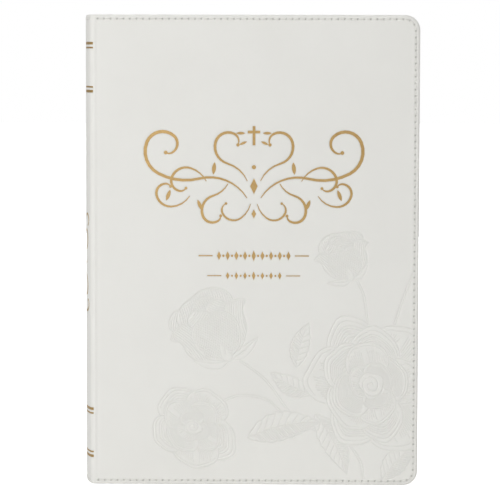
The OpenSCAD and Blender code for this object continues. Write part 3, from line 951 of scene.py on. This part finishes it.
def bundle(name, y, t, x_back, x_fold, x_fore, leaves, t_neck, back_fn=None, cad=(), face=None, ragged=0.10, seed=0):
    """A bundle of leaves between the block's back and the fore-edge: flat faces, and edges cut leaf by leaf."""
    g = np.random.default_rng(seed)
    xs = np.concatenate([np.linspace(0, 1, 6)[:-1] * (x_fold - 1.6 - x_back) + x_back, x_fold + np.array([-1.6, -1.0, -0.4, 0.2, 0.8, 1.4, 2.0, 3.0, 4.2, 5.6, 7.0, 9.0])])
    xs = np.concatenate([xs, np.linspace(x_fold + 12, x_fore(y) - 8, 12)])
    ph = np.radians(np.linspace(90, 0, 11))
    arc = np.cos(ph)
    levels, insets = [], []
    # each leaf has two levels at its own inset, with a groove level between leaves
    off = g.uniform(0, ragged, leaves)
    for k in range(leaves):
        v0, v1 = -1 + 2 * k / leaves, -1 + 2 * (k + 1) / leaves
        w = (v1 - v0) * 0.12
        levels += [v0 + w, v1 - w]
        insets += [off[k], off[k]]
        if k < leaves - 1:
            levels.append(v1)
            insets.append(max(off[k], off[min(k + 1, leaves - 1)]) + 0.10)
    levels, insets = np.array(levels), np.array(insets)
    levels[0], levels[-1] = -1, 1
    V = []
    K = len(xs) + len(arc)
    for v, ins in zip(levels, insets):
        y_v = v * t / 2
        xe = x_fore(y + y_v) - ins
        z0, z1 = PZ0 + ins, PZ1 - ins
        x_all = np.concatenate([xs, xe - 6 + 6 * arc])
        r = np.abs(x_all - x_fold)
        k_w = smooth01((r - 1.5) / 5.0)
        th = (t_neck + (t - t_neck) * k_w) / t
        drop = np.zeros(K)
        drop[len(xs):] = 6 * (1 - np.sin(ph))
        if back_fn is not None:
            x_all = np.where(x_all <= x_back + 1e-6, back_fn(y + y_v), x_all)
        yy = y + y_v * th
        V.append(np.stack([x_all, yy, z0 + drop], 1))
        V.append(np.stack([x_all, yy, z1 - drop], 1))
    n_l = len(levels)
    F, MI = [], []

    def idx(l, top, k):
        return (l * 2 + top) * K + k
    ks = np.arange(K - 1)
    for l in range(n_l - 1):
        q = np.stack([idx(l, 0, ks), idx(l, 0, ks + 1), idx(l + 1, 0, ks + 1), idx(l + 1, 0, ks)], 1)
        F.append(q); MI += [1] * len(q)
        q = np.stack([idx(l, 1, ks + 1), idx(l, 1, ks), idx(l + 1, 1, ks), idx(l + 1, 1, ks + 1)], 1)
        F.append(q); MI += [1] * len(q)
        F.append(np.array([[idx(l, 0, K - 1), idx(l, 1, K - 1), idx(l + 1, 1, K - 1), idx(l + 1, 0, K - 1)]])); MI += [1]
        F.append(np.array([[idx(l, 1, 0), idx(l, 0, 0), idx(l + 1, 0, 0), idx(l + 1, 1, 0)]])); MI += [0]
    q = np.stack([idx(0, 0, ks), idx(0, 1, ks), idx(0, 1, ks + 1), idx(0, 0, ks + 1)], 1)
    F.append(q); MI += [0] * len(q)
    q = np.stack([idx(n_l - 1, 0, ks + 1), idx(n_l - 1, 1, ks + 1), idx(n_l - 1, 1, ks), idx(n_l - 1, 0, ks)], 1)
    F.append(q); MI += [0] * len(q)
    o = make(name, np.vstack(V), np.vstack(F), [face or M_PAPER, M_GILT], None, True, MI)
    sharp(o, 35)
    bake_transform(o)
    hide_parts(*cad)
    return o


sec = {}
for k in range(1, 15):
    b = [np.array(v, float) * 1000 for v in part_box("section_%02d" % k)]
    sec[k] = b
FOLD = sec[1][0][0] + 0.2
FORE_MAX = sec[1][1][0]
HALF_MID = (HT - 2.5)
HOLLOW = 2.6
PAGE_X = XR - (PZ0)


def fore_x(y):
    return PAGE_X - HOLLOW * (1 - (y / HALF_MID) ** 2)


BACK_R = (14 ** 2 + 3.5 ** 2) / 7.0
BACK_C = BACK_X + BACK_R


def back_x(y):
    return BACK_C - math.sqrt(max(BACK_R ** 2 - y ** 2, 0))


for k in range(1, 15):
    yc = (sec[k][0][1] + sec[k][1][1]) / 2
    t = sec[k][1][1] - sec[k][0][1]
    if k in (7, 8):                            # the two middle bundles close up to the ribbon between them
        near = 0.08 if k == 8 else -0.08
        far = sec[k][1][1] if k == 8 else sec[k][0][1]
        yc, t = (near + far) / 2, abs(far - near)
    q = k if k <= 7 else 15 - k
    top = 80 - 10 * q
    neck = min(t * 0.97, 1.95 * math.cos(math.radians(top - 5)) + 0.17)
    xb = max(back_x(yc - t / 2), back_x(yc + t / 2))
    o = bundle("page_section_%02d" % k, yc, t, xb, FOLD, fore_x, 11, neck, back_x,
               ["section_%02d" % k, "section_folds"], seed=40 + k)


def leaf_sheet(name, cad, mat):
    b = [np.array(v, float) * 1000 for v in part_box(cad)]
    yc = (b[0][1] + b[1][1]) / 2
    t = b[1][1] - b[0][1]
    xf = b[0][0] + t / 2
    o = bundle(name, yc, t * 0.8, -74.9, xf, fore_x, 1, t * 0.8, None, [cad], mat, ragged=0.05, seed=int(abs(yc) * 10))


leaf_sheet("front_flyleaf_sheet", "front_flyleaf", M_END)
leaf_sheet("presentation_sheet", "presentation_leaf", M_HEAVY)
leaf_sheet("map_sheet", "map_leaf", M_HEAVY)
leaf_sheet("back_flyleaf_sheet", "back_flyleaf", M_END)


# ------------------------------------------------------------------ pasted-down endpapers, which run on over the joint to the flyleaf
def pastedown(side, name, cad):
    b = [np.array(v, float) * 1000 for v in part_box(cad)]
    y_in = min(abs(b[0][1]), abs(b[1][1]))
    y_out = max(abs(b[0][1]), abs(b[1][1]))
    inset = b[0][2]
    r = CR - inset
    xe = b[1][0]
    xs = np.concatenate([np.arange(XH - 0.5, XH + 4.2, 0.2), np.linspace(XH + 5, xe - r - 1, 30)])
    ph = np.radians(np.linspace(90, 0, 12))
    x_all = np.concatenate([xs, xe - r + r * np.cos(ph)])
    drop = np.concatenate([np.zeros(len(xs)), r * (1 - np.sin(ph))])
    K = len(x_all)
    V = []
    for yy in (-y_out, -y_in):
        for top in (0, 1):
            z = (H - inset - drop) if top else (inset + drop)
            V.append(np.stack([x_all, np.full(K, yy), z], 1))
    V = np.vstack(V)

    def idx(l, top, k):
        return (l * 2 + top) * K + k
    ks = np.arange(K - 1)
    F = [np.stack([idx(1, 0, ks), idx(1, 0, ks + 1), idx(1, 1, ks + 1), idx(1, 1, ks)], 1)[:, ::-1],
         np.stack([idx(0, 0, ks), idx(0, 0, ks + 1), idx(0, 1, ks + 1), idx(0, 1, ks)], 1),
         np.stack([idx(0, 0, ks), idx(0, 0, ks + 1), idx(1, 0, ks + 1), idx(1, 0, ks)], 1)[:, ::-1],
         np.stack([idx(0, 1, ks), idx(0, 1, ks + 1), idx(1, 1, ks + 1), idx(1, 1, ks)], 1),
         np.array([[idx(0, 0, K - 1), idx(0, 1, K - 1), idx(1, 1, K - 1), idx(1, 0, K - 1)]])]
    F = np.vstack(F)
    if side > 0:
        V[:, 1] *= -1
        F = F[:, ::-1]
    o = make(name, V, F, M_END, None)
    sharp(o, 40)
    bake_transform(o)
    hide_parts(cad)


pastedown(-1, "front_pastedown_sheet", "front_pastedown")
pastedown(1, "back_pastedown_sheet", "back_pastedown")


# ------------------------------------------------------------------ head and tail bands: thread wound over a core
def band(name, cad):
    b = [np.array(v, float) * 1000 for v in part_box(cad)]
    zc = (b[0][2] + b[1][2]) / 2
    r0 = (b[1][2] - b[0][2]) / 2
    R = BACK_R - 1.0
    half = math.asin(12.6 / R)
    wraps = 34
    per = 8
    n = wraps * per + 1
    sides = 16
    V, MI = [], []
    for k in range(n):
        a = -half + 2 * half * k / (n - 1)
        f = (k % per) / per
        r = r0 * (0.84 + 0.16 * math.sin(math.pi * f) ** 0.6)
        if k in (0, n - 1):
            r *= 0.5
        for q in range(sides):
            p = 2 * math.pi * q / sides
            rad = R + r * math.cos(p)
            V.append((BACK_C - rad * math.cos(a), rad * math.sin(a), zc + r * math.sin(p)))
    F = []
    for k in range(n - 1):
        for q in range(sides):
            a, c = k * sides + q, k * sides + (q + 1) % sides
            F.append((a, c, c + sides, a + sides))
            MI.append((k // per) % 4 // 2)
    o = make(name, V, np.array(F), [M_BAND_A, M_BAND_B], "binding", True, MI)
    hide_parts(cad)


band("head_band_wound", "head_band")
band("tail_band_wound", "tail_band")


# ------------------------------------------------------------------ ribbon marker
def ribbon():
    b = [np.array(v, float) * 1000 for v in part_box("ribbon_marker")]
    ctrl = np.array([(-76.8, 213.5), (-73.5, 214.5), (-69.5, 213.5), (-67.2, 205), (-66.4, 180), (-64.8, 130), (-62.6, 70), (-61.2, 30), (-60.9, b[0][2] + 1.2)])
    n = 90
    u = np.linspace(0, len(ctrl) - 1, n)
    k = np.clip(u.astype(int), 0, len(ctrl) - 2)
    f = (u - k)[:, None]
    pad = np.vstack([2 * ctrl[0] - ctrl[1], ctrl, 2 * ctrl[-1] - ctrl[-2]])
    p0, p1, p2, p3 = pad[k], pad[k + 1], pad[k + 2], pad[k + 3]
    C = 0.5 * (2 * p1 + (p2 - p0) * f + (2 * p0 - 5 * p1 + 4 * p2 - p3) * f ** 2 + (-p0 + 3 * p1 - 3 * p2 + p3) * f ** 3)
    T = np.gradient(C, axis=0)
    N = np.stack([-T[:, 1], T[:, 0]], 1) / np.linalg.norm(T, axis=1)[:, None]
    cols = np.linspace(-2.9, 2.9, 9)
    V = []
    for yo in (-0.04, 0.04):
        for i in range(n):
            wv = 0.02 * math.sin(i * 0.16)
            for j, c in enumerate(cols):
                notch = -3.0 * (1 - abs(c) / 2.9) if i == n - 1 else 0
                P = C[i] + N[i] * c + T[i] / np.linalg.norm(T[i]) * notch
                V.append((P[0], yo + wv + 0.02 * math.cos(c * 1.2), P[1]))
    m = len(cols)
    F = [grid_faces(n, m), grid_faces(n, m, True, n * m)]
    e = np.concatenate([np.arange(m), np.arange(1, n) * m + m - 1, (n - 1) * m + np.arange(m - 2, -1, -1), np.arange(n - 2, -1, -1) * m])
    F.append(np.stack([e[:-1], e[1:], e[1:] + n * m, e[:-1] + n * m], 1)[:, ::-1])
    o = make("ribbon_marker_strip", V, np.vstack(F), M_SATIN, "binding")
    sharp(o, 50)
    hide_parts("ribbon_marker")


ribbon()

# ------------------------------------------------------------------ CAD nodes that stay, with their finish
for name, mat in {"front_foil_ornament": M_FOIL, "spine_foil_bands": M_FOIL_SPINE, "spine_foil_ornament": M_FOIL_SPINE, "spine_inlay": M_BOARD,
                  "sewing_thread": M_LINEN, "mull_lining": M_MULL, "kraft_lining": M_KRAFT, "front_cover_board": M_BOARD, "back_cover_board": M_BOARD,
                  "front_mull_flap": M_MULL, "back_mull_flap": M_MULL}.items():
    me = nodes[name].data
    me.materials.clear()
    me.materials.append(mat)

# ------------------------------------------------------------------ floor, light and camera
def floor():
    me = bpy.data.meshes.new("floor")
    s = 6.0
    me.from_pydata([(-s, -s, 0), (s, -s, 0), (s, s, 0), (-s, s, 0)], [], [(0, 1, 2, 3)])
    m = bpy.data.materials.new("floor_pale")
    m.use_nodes = True
    b = m.node_tree.nodes["Principled BSDF"]
    b.inputs["Base Color"].default_value = (0.93, 0.93, 0.93, 1)
    b.inputs["Roughness"].default_value = 0.9
    b.inputs["Specular IOR Level"].default_value = 0.1
    b.inputs["Emission Color"].default_value = (1, 1, 1, 1)
    p = m.node_tree.nodes.new("ShaderNodeLightPath")
    k = m.node_tree.nodes.new("ShaderNodeMath")
    k.operation = "MULTIPLY"
    k.inputs[1].default_value = 0.80
    m.node_tree.links.new(p.outputs["Is Camera Ray"], k.inputs[0])
    m.node_tree.links.new(k.outputs[0], b.inputs["Emission Strength"])
    me.materials.append(m)
    o = bpy.data.objects.new("floor", me)
    bpy.context.scene.collection.objects.link(o)


floor()
scene = bpy.context.scene
scene.view_settings.view_transform = "Standard"
scene.view_settings.look = "None"
world = bpy.data.worlds.new("studio")
scene.world = world
world.use_nodes = True
wt = world.node_tree
wt.nodes.clear()
out = wt.nodes.new("ShaderNodeOutputWorld")
bg = wt.nodes.new("ShaderNodeBackground")
cam_bg = wt.nodes.new("ShaderNodeBackground")
mix = wt.nodes.new("ShaderNodeMixShader")
lp = wt.nodes.new("ShaderNodeLightPath")
bg.inputs["Color"].default_value = (1, 1, 1, 1)
bg.inputs["Strength"].default_value = 0.385
cam_bg.inputs["Color"].default_value = (1, 1, 1, 1)
cam_bg.inputs["Strength"].default_value = 1.0
wt.links.new(lp.outputs["Is Camera Ray"], mix.inputs["Fac"])
wt.links.new(bg.outputs["Background"], mix.inputs[1])
wt.links.new(cam_bg.outputs["Background"], mix.inputs[2])
wt.links.new(mix.outputs["Shader"], out.inputs["Surface"])


def area(name, pos, target, size, power, size_y=None):
    l = bpy.data.lights.new(name, "AREA")
    l.energy = power
    l.size = size
    if size_y:
        l.shape = "RECTANGLE"
        l.size_y = size_y
    o = bpy.data.objects.new(name, l)
    o.location = pos
    d = Vector(target) - Vector(pos)
    o.rotation_euler = d.to_track_quat("-Z", "Y").to_euler()
    scene.collection.objects.link(o)
    return o


area("key", (-0.56, -1.30, 0.11), (0, 0, 0.08), 0.45, 5.5, 0.20)
area("graze", (-0.62, -0.42, 1.12), (0, 0, 0.11), 0.30, 3.6)
area("fill", (0.9, -1.4, 0.5), (0, 0, 0.11), 1.2, 1.3)
area("top", (0.0, 0.1, 1.5), (0, 0, 0.0), 1.4, 2.0)
area("behind", (0.15, 1.6, 0.45), (0, 0, 0.11), 1.0, 5.5)
area("right", (1.6, 0.35, 0.40), (0, 0, 0.11), 0.9, 2.2)

cam_data = bpy.data.cameras.new("camera")
cam = bpy.data.objects.new("camera", cam_data)
scene.collection.objects.link(cam)
scene.camera = cam
cam_data.sensor_width = 36.0
AZ, EL, ROLL, DIST = math.radians(0.78), math.radians(4.36), math.radians(0.133), 1.3
cam_data.lens = 193.5
target = Vector((-0.00061, -HT * MM, 0.11463))
pos = target + DIST * Vector((math.sin(AZ) * math.cos(EL), -math.cos(AZ) * math.cos(EL), math.sin(EL)))
rot = (target - pos).to_track_quat("-Z", "Y").to_matrix() @ Matrix.Rotation(ROLL, 3, "Z")
cam.matrix_world = Matrix.Translation(pos) @ rot.to_4x4()
